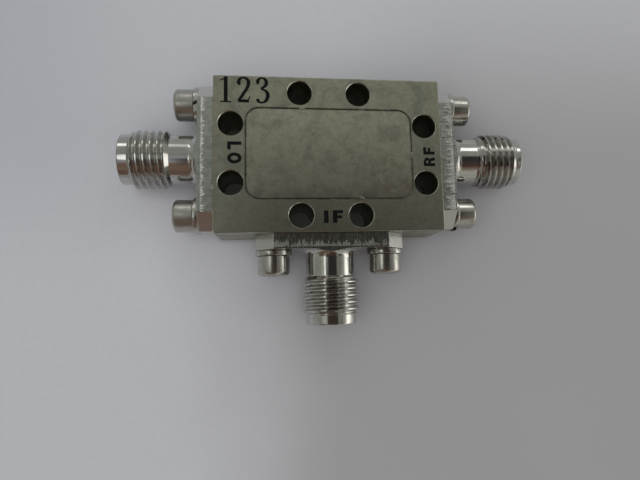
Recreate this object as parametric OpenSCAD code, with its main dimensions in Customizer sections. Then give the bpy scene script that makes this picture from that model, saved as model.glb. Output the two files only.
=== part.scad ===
// Three-port microwave mixer in a machined housing with flange-mounted coaxial jacks.
// Origin: centre of the housing's bottom face. +X to the RF port, -X to the LO port,
// -Y to the IF port, +Z out of the cover. Millimetres.

/* [Housing] */
// Width of the housing between the two side ports
body_w = 24.3; // [21.5:0.1:40]
// Depth of the housing from the front port to the back face
body_d = 16.7; // [16:0.1:30]
// Height of the housing
body_h = 6.35; // [6.3:0.05:12]
// Radius of the four upright corners
corner_r = 0.2; // [0.1:0.05:0.5]
// Chamfer along the top and bottom edges
edge_break = 0.1; // [0.05:0.01:0.25]

/* [Mounting holes] */
// Diameter of the eight through holes
hole_d = 2.59; // [1.6:0.01:2.8]
// Distance of the side holes from the side faces
side_hole_inset = 1.8; // [1.75:0.01:1.9]
// Distance of the end holes from the front and back faces
end_hole_inset = 1.75; // [1.7:0.01:2]
// Distance of each through hole from the line of the flange screw beside it
hole_to_screw = 2.96; // [2.6:0.01:3.2]
// Chamfer at both ends of each hole
hole_break = 0.12; // [0.05:0.01:0.2]

/* [Cover] */
// Width of the rim between the side faces and the cover
rim_x = 3.35; // [3.35:0.01:4]
// Width of the rim between the front and back faces and the cover
rim_y = 3.52; // [3.4:0.01:3.9]
// Thickness of the cover
cover_t = 0.7; // [0.4:0.05:1.2]
// Corner radius of the cover
cover_r = 1.4; // [1.2:0.05:2]
// Gap all round between the cover and its recess
cover_gap = 0.06; // [0.03:0.01:0.1]
// Width of the ledge that the cover lies on
ledge_w = 0.55; // [0.4:0.05:0.8]

/* [Connector flange] */
// Height of each flange between its milled edges
flange_h = 5.72; // [5.7:0.01:6.2]
// Thickness of each flange
flange_t = 1.65; // [1.2:0.01:3]
// Chamfer on the four corners of each flange
flange_chamfer = 1.87; // [1:0.01:1.95]
// Distance between the two screws of a flange
screw_pitch = 12.22; // [11:0.01:13.4]
// Diameter of the screw holes in a flange
flange_hole_d = 2.59; // [2.3:0.01:2.8]
// Metal between each screw hole and the end of the flange
flange_rim = 0.535; // [0.4:0.005:0.8]

/* [Connector barrel] */
// Diameter of the plain barrel behind the thread
barrel_d = 5.28; // [5.1:0.01:5.6]
// Length of the plain barrel
barrel_len = 2.85; // [1.8:0.05:5]
// Radius of the turned fillet at the foot of the barrel
fillet_r = 0.9; // [0.4:0.05:1.2]
// Outer diameter of the thread
thread_d = 6.25; // [6.1:0.01:6.3]
// Length of the thread
thread_len = 4.1; // [3:0.05:7]
// Diameter of the plain collar in front of the thread
collar_d = 5.4; // [5.2:0.01:5.6]
// Length of the plain collar
collar_len = 1; // [0.5:0.05:2]
// Diameter of the mouth
mouth_d = 4.6; // [4.5:0.01:4.8]
// Depth of the mouth
mouth_depth = 1.9; // [1.2:0.05:2.5]

/* [Connector core] */
// Diameter of the insulator
core_d = 4.1; // [3.6:0.01:4.2]
// Diameter of the centre contact
contact_d = 1.27; // [1.2:0.01:1.5]
// Diameter of the socket in the front of the contact
socket_d = 0.94; // [0.9:0.01:0.98]
// Depth of that socket
socket_depth = 2.6; // [2:0.1:3.5]
// Width of the slots that split the socket into four fingers
slot_w = 0.14; // [0.08:0.01:0.2]
// Length of those slots
slot_len = 1.8; // [1:0.1:1.9]
// Diameter of the barb that holds the contact in the insulator
barb_d = 1.75; // [1.6:0.01:2.2]
// Length of the barb
barb_len = 0.7; // [0.4:0.05:1]
// Depth of the small socket in the back of the contact
rear_depth = 1.7; // [1.4:0.05:2.2]

/* [Glass seals] */
// Outer diameter of the metal ring
ring_d = 2.4; // [2.2:0.01:2.5]
// Length of the ring
ring_len = 1.6; // [1:0.05:2.2]
// Diameter of the glass in the ring
glass_d = 1.8; // [1.4:0.01:1.9]
// Diameter of the pin through the glass
pin_d = 0.38; // [0.3:0.01:0.5]
// Reach of the pin into the contact
pin_out = 1.3; // [0.8:0.05:1.35]
// Reach of the pin over the circuit
pin_in = 1.1; // [0.7:0.05:1.5]
// Diameter of the air line from the seal to the cavity
air_d = 0.9; // [0.7:0.01:1.3]

/* [Screws] */
// Diameter of the screw thread
screw_d = 2.18; // [2.0:0.01:2.2]
// Length of the screw under its head
screw_len = 4.76; // [4:0.01:4.9]
// Diameter of the screw head
head_d = 3.45; // [3.2:0.01:3.8]
// Height of the screw head
head_h = 2.1; // [1.6:0.01:2.6]
// Radius of the rounded edge of the head
head_round = 0.42; // [0.1:0.01:0.5]
// Width across the flats of the hexagon socket
hex_af = 1.95; // [1.4:0.01:2.1]
// Depth of the hexagon socket
hex_depth = 1.1; // [0.7:0.05:1.3]
// Depth of the tapped holes in the housing
tap_depth = 3.2; // [3.2:0.05:3.4]
// Gap between a screw and the wall of its tapped hole
tap_gap = 0.01; // [0.005:0.005:0.02]

/* [Lock washers] */
// Outer diameter of a lock washer
washer_d = 3.95; // [3.6:0.01:4.3]
// Bore of a lock washer
washer_bore = 2.32; // [2.25:0.01:2.5]
// Thickness of a lock washer
washer_t = 0.58; // [0.4:0.01:0.8]
// Width of the slanting cut through a lock washer
washer_cut = 0.3; // [0.15:0.01:0.5]

/* [Circuit] */
// Thickness of the carrier plate
carrier_t = 1; // [0.6:0.05:1.2]
// Thickness of the circuit board
board_t = 0.45; // [0.25:0.01:0.6]
// Thickness of the conductors on the board
trace_t = 0.035; // [0.02:0.005:0.06]
// Gap between the carrier plate and the cavity wall
carrier_gap = 0.1; // [0.05:0.01:0.2]
// Margin of the carrier plate that the board leaves bare
board_margin = 0.12; // [0.05:0.01:0.3]
// Width of the lines at the pins
line_w = 0.95; // [0.6:0.01:1.3]
// Width of the lines at the diodes
line_tip_w = 0.3; // [0.2:0.01:0.4]
// Width of the diode chip
chip_w = 0.6; // [0.4:0.01:0.8]
// Thickness of the diode chip
chip_t = 0.22; // [0.1:0.01:0.35]
// Width of each of the chip's four leads
lead_w = 0.16; // [0.08:0.01:0.18]
// Distance of the line ends from the middle of the chip
line_start = 0.5; // [0.45:0.01:0.8]
// Length of the capacitor on the IF line
cap_len = 1; // [0.8:0.05:1.2]
// Width and height of that capacitor
cap_w = 0.5; // [0.4:0.01:0.6]
// Break in the IF line that the capacitor bridges
cap_break = 0.4; // [0.2:0.05:0.6]
// Thickness of the absorber pad under the cover
absorber_t = 0.8; // [0.4:0.05:1]
// Margin between the absorber pad and the cavity wall
absorber_margin = 0.8; // [0.5:0.05:1.5]

/* [Hidden] */
$fn = 96;

// Margin by which a cutting shape runs past the face that it cuts
over = 1;
// Clearance of pieces that are pressed or soldered in
fit_gap = 0.01;

// Heights
axis_z = body_h / 2;
ledge_z = body_h - cover_t;
trace_z = axis_z - pin_d / 2 - trace_t;
board_z = trace_z - board_t;
floor_z = board_z - carrier_t;

// Cover, recess and cavity
cover_w = body_w - 2 * rim_x;
cover_d = body_d - 2 * rim_y;
cavity_w = cover_w - 2 * ledge_w;
cavity_d = cover_d - 2 * ledge_w;
cavity_r = cover_r - ledge_w;
carrier_w = cavity_w - 2 * carrier_gap;
carrier_d = cavity_d - 2 * carrier_gap;
carrier_r = cavity_r - carrier_gap;
board_w = carrier_w - 2 * board_margin;
board_d = carrier_d - 2 * board_margin;
board_r = carrier_r - board_margin;

// Wall between a face of the housing and the cavity
side_wall = rim_x + ledge_w;
front_wall = rim_y + ledge_w;

// Through holes, which clear the tapped holes by the same distance at every port
side_hole_pitch = screw_pitch - 2 * hole_to_screw;
end_hole_pitch = side_hole_pitch;

// Length of each flange
flange_len = screw_pitch + flange_hole_d + 2 * flange_rim;

// Connector lengths from the face of the housing
thread_from = flange_t + barrel_len;
thread_to = thread_from + thread_len;
shell_len = thread_to + collar_len;
core_len = shell_len - mouth_depth;
thread_slope = (thread_d - barrel_d) / 2;
collar_slope = (thread_d - collar_d) / 2;
mouth_break = 0.12;
seat_z = flange_t + washer_t;
shank_in = screw_len - seat_z;
tip_break = 0.3;
barb_from = core_len / 2 - barb_len / 2;
cut_slant = 28;

// The fillet stays clear of the lock washers
washer_clear = 0.1;
foot_r = min(fillet_r, (screw_pitch - washer_d - barrel_d) / 2 - washer_clear);

// Ports: place on the housing and turn about the upright axis
LO = [[-body_w / 2, 0, axis_z], -90];
RF = [[body_w / 2, 0, axis_z], 90];
IF = [[0, -body_d / 2, axis_z], 0];

// Puts children on a port: +Z out of the port and +X along the flange
module at_port(port) {
  translate(port[0]) rotate([90, 0, port[1]]) children();
}

// Puts children on one screw of a port, side is -1 or 1
module at_screw(port, side) {
  at_port(port) translate([side * screw_pitch / 2, 0, 0]) children();
}

// Flat rounded rectangle from squares and circles
module rounded_rect(w, d, r) {
  square([w - 2 * r, d], center = true);
  square([w, d - 2 * r], center = true);
  for (x = [-1, 1], y = [-1, 1])
    translate([x * (w / 2 - r), y * (d / 2 - r)]) circle(r);
}

// Plate with rounded corners that stands on height z
module plate(w, d, r, z, t) {
  translate([0, 0, z]) linear_extrude(t) rounded_rect(w, d, r);
}

// Section of a block w wide and body_h high with broken edges
module broken_section(w) {
  b = edge_break;
  polygon([
    [-w / 2 + b, 0], [w / 2 - b, 0], [w / 2, b], [w / 2, body_h - b],
    [w / 2 - b, body_h], [-w / 2 + b, body_h], [-w / 2, body_h - b], [-w / 2, b]
  ]);
}

// Places of the eight through holes
hole_places = concat(
  [for (x = [-1, 1], y = [-1, 1]) [x * (body_w / 2 - side_hole_inset), y * side_hole_pitch / 2]],
  [for (x = [-1, 1], y = [-1, 1]) [x * end_hole_pitch / 2, y * (body_d / 2 - end_hole_inset)]]
);

module through_hole() {
  r = hole_d / 2;
  b = hole_break;
  rotate_extrude() polygon([
    [0, -over], [r + b + over, -over], [r + b, 0], [r, b],
    [r, body_h - b], [r + b, body_h], [r + b + over, body_h + over], [0, body_h + over]
  ]);
}

// Bore for a glass seal and the air line behind it, through a wall
module port_bore(wall) {
  translate([0, 0, -ring_len]) cylinder(d = ring_d + 2 * fit_gap, h = ring_len + over);
  translate([0, 0, -wall - over]) cylinder(d = air_d, h = wall + over);
}

module tapped_hole() {
  translate([0, 0, -tap_depth]) cylinder(d = screw_d + 2 * tap_gap, h = tap_depth + over);
}

module housing() {
  color([0.55, 0.55, 0.5])
  difference() {
    intersection() {
      translate([0, body_d / 2, 0]) rotate([90, 0, 0])
        linear_extrude(body_d) broken_section(body_w);
      translate([-body_w / 2, 0, 0]) rotate([90, 0, 90])
        linear_extrude(body_w) broken_section(body_d);
      plate(body_w, body_d, corner_r, 0, body_h);
    }
    plate(cover_w + 2 * cover_gap, cover_d + 2 * cover_gap, cover_r + cover_gap,
      ledge_z, cover_t + over);
    plate(cavity_w, cavity_d, cavity_r, floor_z, body_h);
    for (place = hole_places) translate([place[0], place[1], 0]) through_hole();
    at_port(LO) port_bore(side_wall);
    at_port(RF) port_bore(side_wall);
    at_port(IF) port_bore(front_wall);
    for (port = [LO, RF, IF], side = [-1, 1]) at_screw(port, side) tapped_hole();
  }
}

module cover() {
  color([0.6, 0.6, 0.55]) plate(cover_w, cover_d, cover_r, ledge_z, cover_t);
}

module cover_absorber() {
  color([0.12, 0.12, 0.13])
    plate(cavity_w - 2 * absorber_margin, cavity_d - 2 * absorber_margin, cavity_r,
      ledge_z - absorber_t, absorber_t);
}

// Circuit inside the cavity
module carrier_plate() {
  color([0.75, 0.66, 0.4]) plate(carrier_w, carrier_d, carrier_r, floor_z, carrier_t);
}

module circuit_board() {
  color([0.9, 0.9, 0.86]) plate(board_w, board_d, board_r, board_z, board_t);
}

// Line on the board that narrows from line_w at reach to line_tip_w at the diodes
module tapered_line(reach) {
  translate([0, 0, trace_z]) linear_extrude(trace_t) polygon([
    [line_start, -line_tip_w / 2], [reach - pin_in, -line_w / 2], [reach, -line_w / 2],
    [reach, line_w / 2], [reach - pin_in, line_w / 2], [line_start, line_tip_w / 2]
  ]);
}

module lo_line() {
  color("gold") rotate(180) tapered_line(board_w / 2);
}

module rf_line() {
  color("gold") tapered_line(board_w / 2);
}

// Middle of the capacitor, between the diodes and the end of the pin
cap_y = -(line_start + board_d / 2 - pin_in) / 2;

module if_line() {
  color("gold") rotate(-90) difference() {
    tapered_line(board_d / 2);
    translate([-cap_y - cap_break / 2, -line_w, board_z])
      cube([cap_break, 2 * line_w, board_t + trace_t + over]);
  }
}

module ground_line() {
  color("gold") rotate(90) tapered_line(board_d / 2);
}

module diode_quad() {
  lead_len = 2 * (line_start + lead_w);
  color([0.2, 0.2, 0.22]) translate([0, 0, trace_z + trace_t]) {
    for (turn = [0, 90]) rotate(turn)
      translate([-lead_len / 2, -lead_w / 2, 0]) cube([lead_len, lead_w, trace_t]);
    translate([-chip_w / 2, -chip_w / 2, trace_t]) cube([chip_w, chip_w, chip_t]);
  }
}

module if_capacitor() {
  color([0.7, 0.6, 0.5])
    translate([-cap_w / 2, cap_y - cap_len / 2, trace_z + trace_t]) cube([cap_w, cap_len, cap_w]);
}

// Outline of a flange: a rectangle with chamfered corners
module flange_outline() {
  end_x = flange_len / 2;
  edge_y = flange_h / 2;
  flat_x = end_x - flange_chamfer;
  flat_y = edge_y - flange_chamfer;
  polygon([
    [end_x, flat_y], [flat_x, edge_y], [-flat_x, edge_y], [-end_x, flat_y],
    [-end_x, -flat_y], [-flat_x, -edge_y], [flat_x, -edge_y], [end_x, -flat_y]
  ]);
}

// Turned barrel, thread and collar from the flange to the mouth
module turned_barrel() {
  rotate_extrude() polygon([
    [0, 0], [barrel_d / 2, 0], [barrel_d / 2, thread_from],
    [thread_d / 2, thread_from + thread_slope], [thread_d / 2, thread_to - collar_slope],
    [collar_d / 2, thread_to], [collar_d / 2, shell_len - mouth_break],
    [collar_d / 2 - mouth_break, shell_len], [0, shell_len]
  ]);
}

// Fillet at the foot of the barrel, cut by the same flats as the flange
module barrel_fillet() {
  intersection() {
    rotate_extrude() difference() {
      translate([0, flange_t]) square([barrel_d / 2 + foot_r, foot_r]);
      translate([barrel_d / 2 + foot_r, flange_t + foot_r]) circle(foot_r);
    }
    translate([-flange_len / 2, -flange_h / 2, 0]) cube([flange_len, flange_h, shell_len]);
  }
}

module connector_shell() {
  color([0.72, 0.72, 0.7])
  difference() {
    union() {
      linear_extrude(flange_t) flange_outline();
      turned_barrel();
      barrel_fillet();
    }
    translate([0, 0, -over]) cylinder(d = core_d + 2 * fit_gap, h = shell_len + 2 * over);
    translate([0, 0, core_len]) cylinder(d = mouth_d, h = mouth_depth + over);
    translate([0, 0, shell_len - mouth_break])
      cylinder(d1 = mouth_d, d2 = mouth_d + 2 * mouth_break, h = mouth_break);
    for (side = [-1, 1]) translate([side * screw_pitch / 2, 0, -over])
      cylinder(d = flange_hole_d, h = flange_t + 2 * over);
  }
}

module insulator() {
  color("white")
  difference() {
    cylinder(d = core_d, h = core_len);
    translate([0, 0, -over]) cylinder(d = contact_d + 2 * fit_gap, h = core_len + 2 * over);
    translate([0, 0, barb_from]) cylinder(d = barb_d + 2 * fit_gap, h = barb_len);
  }
}

// Centre contact: slotted socket in front, barb in the middle, small socket behind
module contact() {
  color([0.85, 0.68, 0.3])
  difference() {
    union() {
      cylinder(d = contact_d, h = core_len);
      translate([0, 0, barb_from]) cylinder(d = barb_d, h = barb_len);
    }
    translate([0, 0, core_len - socket_depth]) cylinder(d = socket_d, h = socket_depth + over);
    translate([0, 0, -over]) cylinder(d = pin_d + 2 * fit_gap, h = rear_depth + over);
    for (turn = [0, 90]) rotate(turn)
      translate([-contact_d, -slot_w / 2, core_len - slot_len])
        cube([2 * contact_d, slot_w, slot_len + over]);
  }
}

// Glass seal: metal ring, glass and pin, flush with the face of the housing
module seal_ring() {
  color([0.7, 0.68, 0.6]) translate([0, 0, -ring_len]) difference() {
    cylinder(d = ring_d, h = ring_len);
    translate([0, 0, -over]) cylinder(d = glass_d, h = ring_len + 2 * over);
  }
}

module seal_glass() {
  color([0.25, 0.45, 0.4]) translate([0, 0, -ring_len]) difference() {
    cylinder(d = glass_d, h = ring_len);
    translate([0, 0, -over]) cylinder(d = pin_d, h = ring_len + 2 * over);
  }
}

// Pin from the contact to its landing on the board, through a wall
module seal_pin(wall) {
  reach = wall + carrier_gap + board_margin + pin_in;
  color("gold") translate([0, 0, -reach]) cylinder(d = pin_d, h = reach + pin_out);
}

module flange_screw() {
  r = head_d / 2;
  color([0.65, 0.65, 0.63])
  difference() {
    union() {
      rotate_extrude() {
        translate([0, seat_z]) square([r, head_h - head_round]);
        translate([0, seat_z]) square([r - head_round, head_h]);
        intersection() {
          translate([r - head_round, seat_z + head_h - head_round]) circle(head_round);
          translate([0, seat_z]) square([r, head_h]);
        }
      }
      rotate_extrude() polygon([
        [0, -shank_in], [screw_d / 2 - tip_break, -shank_in],
        [screw_d / 2, -shank_in + tip_break], [screw_d / 2, seat_z + head_round],
        [0, seat_z + head_round]
      ]);
    }
    translate([0, 0, seat_z + head_h - hex_depth])
      cylinder(d = hex_af / cos(30), h = hex_depth + over, $fn = 6);
  }
}

// Split lock washer with a slanting cut
module lock_washer() {
  color([0.6, 0.6, 0.58])
  translate([0, 0, flange_t]) difference() {
    cylinder(d = washer_d, h = washer_t);
    translate([0, 0, -over]) cylinder(d = washer_bore, h = washer_t + 2 * over);
    translate([0, washer_d / 2, washer_t / 2]) rotate([0, cut_slant, 0])
      cube([washer_cut, washer_d, 4 * washer_t], center = true);
  }
}

module lo_shell() { at_port(LO) connector_shell(); }
module lo_insulator() { at_port(LO) insulator(); }
module lo_contact() { at_port(LO) contact(); }
module lo_seal_ring() { at_port(LO) seal_ring(); }
module lo_seal_glass() { at_port(LO) seal_glass(); }
module lo_seal_pin() { at_port(LO) seal_pin(side_wall); }

module rf_shell() { at_port(RF) connector_shell(); }
module rf_insulator() { at_port(RF) insulator(); }
module rf_contact() { at_port(RF) contact(); }
module rf_seal_ring() { at_port(RF) seal_ring(); }
module rf_seal_glass() { at_port(RF) seal_glass(); }
module rf_seal_pin() { at_port(RF) seal_pin(side_wall); }

module if_shell() { at_port(IF) connector_shell(); }
module if_insulator() { at_port(IF) insulator(); }
module if_contact() { at_port(IF) contact(); }
module if_seal_ring() { at_port(IF) seal_ring(); }
module if_seal_glass() { at_port(IF) seal_glass(); }
module if_seal_pin() { at_port(IF) seal_pin(front_wall); }

module lo_screw_front() { at_screw(LO, 1) flange_screw(); }
module lo_screw_back() { at_screw(LO, -1) flange_screw(); }
module rf_screw_front() { at_screw(RF, -1) flange_screw(); }
module rf_screw_back() { at_screw(RF, 1) flange_screw(); }
module if_screw_left() { at_screw(IF, -1) flange_screw(); }
module if_screw_right() { at_screw(IF, 1) flange_screw(); }

// Turn of each lock washer, so that its cut lies where the photograph shows one
module lo_washer_front() { at_screw(LO, 1) rotate(150) lock_washer(); }
module lo_washer_back() { at_screw(LO, -1) rotate(20) lock_washer(); }
module rf_washer_front() { at_screw(RF, -1) rotate(75) lock_washer(); }
module rf_washer_back() { at_screw(RF, 1) rotate(200) lock_washer(); }
module if_washer_left() { at_screw(IF, -1) rotate(-100) lock_washer(); }
module if_washer_right() { at_screw(IF, 1) rotate(-65) lock_washer(); }

housing();
cover();
cover_absorber();
carrier_plate();
circuit_board();
lo_line();
rf_line();
if_line();
ground_line();
diode_quad();
if_capacitor();
lo_shell();
lo_insulator();
lo_contact();
lo_seal_ring();
lo_seal_glass();
lo_seal_pin();
rf_shell();
rf_insulator();
rf_contact();
rf_seal_ring();
rf_seal_glass();
rf_seal_pin();
if_shell();
if_insulator();
if_contact();
if_seal_ring();
if_seal_glass();
if_seal_pin();
lo_screw_front();
lo_screw_back();
rf_screw_front();
rf_screw_back();
if_screw_left();
if_screw_right();
lo_washer_front();
lo_washer_back();
rf_washer_front();
rf_washer_back();
if_washer_left();
if_washer_right();
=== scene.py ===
import math
import random

import bmesh
import bpy
from mathutils import Euler, Matrix, Vector, noise
from mathutils.geometry import delaunay_2d_cdt


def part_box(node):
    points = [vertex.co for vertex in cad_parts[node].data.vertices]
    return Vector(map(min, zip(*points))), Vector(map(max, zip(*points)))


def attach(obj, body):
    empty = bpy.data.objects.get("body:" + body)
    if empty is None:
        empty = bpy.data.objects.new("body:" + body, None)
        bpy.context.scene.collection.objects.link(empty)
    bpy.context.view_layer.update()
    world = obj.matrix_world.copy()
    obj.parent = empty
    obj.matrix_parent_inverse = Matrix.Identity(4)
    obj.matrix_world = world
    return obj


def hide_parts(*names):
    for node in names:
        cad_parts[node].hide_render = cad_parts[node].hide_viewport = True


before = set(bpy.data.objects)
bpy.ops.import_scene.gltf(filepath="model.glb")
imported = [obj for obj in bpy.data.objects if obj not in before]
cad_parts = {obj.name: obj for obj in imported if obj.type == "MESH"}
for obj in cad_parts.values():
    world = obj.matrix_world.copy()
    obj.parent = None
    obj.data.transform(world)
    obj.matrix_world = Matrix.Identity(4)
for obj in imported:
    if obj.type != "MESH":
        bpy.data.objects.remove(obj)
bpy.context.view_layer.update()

# Looks of the microwave mixer. Lengths are millimetres in the object's frame, and MM turns them
# into metres.
MM = 0.001
BODY = "root"


def node_size(node):
    """Width, depth and height of a CAD node in millimetres."""
    low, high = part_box(node)
    return [(high[i] - low[i]) / MM for i in range(3)]


# Housing and cover, from the frame
BODY_W, BODY_D, BODY_H = node_size("housing")
COVER_W, COVER_D, COVER_T = node_size("cover")
AXIS_Z = BODY_H / 2
LEDGE_Z = BODY_H - COVER_T
COVER_R = 1.4
COVER_EDGE = 0.05
COVER_GAP = 0.06
LEDGE_W = 0.55
RECESS_LIP = 0.04
CORNER_R = 0.22
EDGE_ROUND = 0.1
FLOOR_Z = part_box("carrier_plate")[0].z / MM

# Through holes, and the chamfer at their mouths as (inset, drop) pairs
HOLE_R = 1.295
HOLE_RIM = [(0.09, 0.0), (0.08, 0.004), (0.07, 0.012), (0.012, 0.07), (0.004, 0.08), (0.0, 0.09)]
HOLE_PITCH = 6.3
SIDE_HOLE_X = BODY_W / 2 - 1.8
END_HOLE_Y = BODY_D / 2 - 1.75

# Bores in the housing's walls, behind the ports
SEAL_BORE_R, SEAL_BORE_L = 1.21, 1.6
AIR_LINE_R = 0.45
TAPPED_R, TAPPED_L = 1.1, 3.2
OVERCUT = 0.5

# Flange jacks, in the port's own frame: +X along the flange, +Y up, +Z out of the housing
FLANGE_L, FLANGE_H, FLANGE_T = 15.88, 5.72, 1.65
FLANGE_CHAMFER, FLANGE_EDGE, FLANGE_RIM = 1.87, 0.06, 0.09
FLANGE_HOLE_R = 1.295
SCREW_PITCH = 12.22
BARREL_R, FILLET_R = 2.64, 0.9
THREAD_FROM, THREAD_TO, THREAD_R = 4.5, 8.6, 3.125
COLLAR_R, COLLAR_EDGE, SHELL_L = 2.7, 0.1, 9.6
MOUTH_R, MOUTH_LIP, CORE_R, CORE_L = 2.3, 0.12, 2.06, 7.7
PITCH, THREAD_DEPTH = 0.7056, 0.43
# Each jack's thread: slope of its run-in, end and slope of its run-out, and its turn in radians
THREADS = {
    "lo": (0.9, THREAD_TO, 1.0, -0.48),
    "rf": (0.42, THREAD_TO + 0.45, 0.55, -2.63),
    "if": (0.9, THREAD_TO, 1.0, 1.91),
}

# Screws and washers
HEAD_R, HEAD_H, HEAD_ROUND = 1.725, 2.1, 0.42
HEX_AF, HEX_DEPTH = 1.95, 1.1
SHANK_R, SCREW_L = 1.09, 4.76
SCREW_THREAD_PITCH, SCREW_THREAD_DEPTH = 0.4536, 0.27
WASHER_R, WASHER_BORE_R, WASHER_T, WASHER_EDGE = 1.975, 1.16, 0.58, 0.09
WASHER_CUT, CUT_SLANT = 0.3, math.radians(28)
SEAT = FLANGE_T + WASHER_T

# Ports: place of the port's origin and its turn about the upright axis
PORTS = {
    "lo": ((-BODY_W / 2, 0, AXIS_Z), -90),
    "rf": ((BODY_W / 2, 0, AXIS_Z), 90),
    "if": ((0, -BODY_D / 2, AXIS_Z), 0),
}
# Screws: port, side of the flange, and turn of the lock washer's cut in degrees
SCREWS = {
    "lo_screw_front": ("lo", 1, -72), "lo_screw_back": ("lo", -1, -9),
    "rf_screw_front": ("rf", -1, 75), "rf_screw_back": ("rf", 1, 200),
    "if_screw_left": ("if", -1, -100), "if_screw_right": ("if", 1, -65),
}


def port_matrix(port, x=0.0):
    """Places port coordinates in millimetres on the object, in metres."""
    place, turn = PORTS[port]
    move = Matrix.Translation(Vector(place) * MM)
    spin = Matrix.Rotation(math.radians(turn), 4, "Z") @ Matrix.Rotation(math.pi / 2, 4, "X")
    return move @ spin @ Matrix.Translation((x * MM, 0, 0))


# Meshes

class Skin:
    """Collects vertices in millimetres and faces, then makes one object of them."""

    def __init__(self):
        self.verts, self.faces, self.flat = [], [], []

    def ring(self, points):
        start = len(self.verts)
        self.verts += [tuple(p) for p in points]
        return list(range(start, start + len(points)))

    def turned(self, profile, count):
        """Rings of (radius, z) pairs about Z."""
        return [self.ring(circle(r, z, count)) for r, z in profile]

    def bridge(self, a, b):
        """Quads between two closed rings with as many points each."""
        for i in range(len(a)):
            j = (i + 1) % len(a)
            self.faces.append((a[i], a[j], b[j], b[i]))

    def chain(self, rings):
        for a, b in zip(rings, rings[1:]):
            self.bridge(a, b)

    def cap(self, rings):
        """Closes both ends of a chain of rings."""
        self.faces += [tuple(rings[0]), tuple(rings[-1])]

    def slab(self, outline, edge, low, high):
        """Wall of rings outline(inset, z) between two heights, edge giving (inset, drop) at both."""
        rings = [self.ring(outline(inset, high - drop)) for inset, drop in edge]
        rings += [self.ring(outline(inset, low + drop)) for inset, drop in reversed(edge)]
        self.chain(rings)
        return rings[0], rings[-1]

    def fill(self, outer, holes=()):
        """Triangles of the flat region inside one ring and outside others."""
        loops = [outer, *holes]
        order = [v for loop in loops for v in loop]
        polygons = [[Vector(self.verts[v][:2]) for v in loop] for loop in loops]
        _, faces, origins = flat_triangles(polygons[:1], polygons[1:], 1e-7)
        self.flat += [tuple(order[origins[i][0]] for i in face) for face in faces]

    def mesh(self, name, smooth_angle=35):
        data = bpy.data.meshes.new(name)
        data.from_pydata([tuple(c * MM for c in v) for v in self.verts], [], self.faces + self.flat)
        tidy_mesh(data)
        shade(data, smooth_angle)
        return data


def shade(data, smooth_angle=35):
    """Smooth shading, but faces square to an axis and sharp edges stay crisp."""
    data.set_sharp_from_angle(angle=math.radians(smooth_angle))
    for polygon in data.polygons:
        if max(abs(c) for c in polygon.normal) > 0.99999:
            polygon.use_smooth = False


def inside(point, polygon):
    """Even-odd test of a flat point in a polygon."""
    found = False
    for i, a in enumerate(polygon):
        b = polygon[i - 1]
        if (a.y > point.y) != (b.y > point.y):
            if point.x < (b.x - a.x) * (point.y - a.y) / (b.y - a.y) + a.x:
                found = not found
    return found


def flat_triangles(solid, gaps, tolerance):
    """Triangulates closed loops of flat points: the points, faces in a solid and no gap, and origins."""
    loops = solid + gaps
    flat = [p for loop in loops for p in loop]
    edges, start = [], 0
    for loop in loops:
        edges += [(start + i, start + (i + 1) % len(loop)) for i in range(len(loop))]
        start += len(loop)
    points, _, faces, origins, _, _ = delaunay_2d_cdt(flat, edges, [], 0, tolerance)
    kept = []
    for face in faces:
        middle = sum((points[i] for i in face), Vector((0, 0))) / len(face)
        if any(inside(middle, s) for s in solid) and not any(inside(middle, s) for s in gaps):
            kept.append(tuple(face))
    return points, kept, origins


def tidy_mesh(data):
    """Joins doubled points, drops empty faces and turns every face outwards."""
    work = bmesh.new()
    work.from_mesh(data)
    bmesh.ops.remove_doubles(work, verts=work.verts, dist=2e-8)
    bmesh.ops.dissolve_degenerate(work, edges=work.edges, dist=1e-8)
    bmesh.ops.recalc_face_normals(work, faces=work.faces)
    work.to_mesh(data)
    work.free()


def add_object(name, data):
    """New object in the scene, of a mesh, a lamp or a camera."""
    item = bpy.data.objects.new(name, data)
    bpy.context.scene.collection.objects.link(item)
    return item


def piece(name, data, material, node=None, matrix=None):
    """One piece of the object: its mesh, material, body and the CAD node that it stands for."""
    item = add_object(name, data)
    if matrix is not None:
        item.matrix_world = matrix
    data.materials.clear()
    data.materials.append(material)
    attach(item, BODY)
    if node:
        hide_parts(node)


def angles(count):
    """Even steps around a circle."""
    return [math.tau * i / count for i in range(count)]


def circle(radius, z, count, middle=(0, 0)):
    return [(middle[0] + radius * math.cos(a), middle[1] + radius * math.sin(a), z)
            for a in angles(count)]


def rectangle(x, y, z):
    """Ring between the low and high end of X and of Y."""
    return [(x[0], y[0], z), (x[1], y[0], z), (x[1], y[1], z), (x[0], y[1], z)]


def rounded(w, d, r, z, inset):
    """Ring inside a rectangle with round corners, all four corners with as many points."""
    half_w, half_d = w / 2 - r, d / 2 - r
    r -= inset
    points, steps = [], 10
    for quarter, (sx, sy) in enumerate([(1, 1), (-1, 1), (-1, -1), (1, -1)]):
        for i in range(steps + 1):
            a = math.pi / 2 * (quarter + i / steps)
            points.append((sx * half_w + r * math.cos(a), sy * half_d + r * math.sin(a), z))
    return points


def round_edge(radius, steps=4):
    """(inset, drop) pairs of a round edge, from the flat face to the wall."""
    pairs = []
    for i in range(steps + 1):
        a = math.pi / 2 * i / steps
        pairs.append((radius * (1 - math.sin(a)), radius * (1 - math.cos(a))))
    return pairs


def revolve(name, profile, count):
    """Closed mesh of (radius, z) pairs turned about Z, with flat ends."""
    skin = Skin()
    rings = skin.turned(profile, count)
    skin.chain(rings)
    skin.cap(rings)
    return skin.mesh(name)


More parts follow.
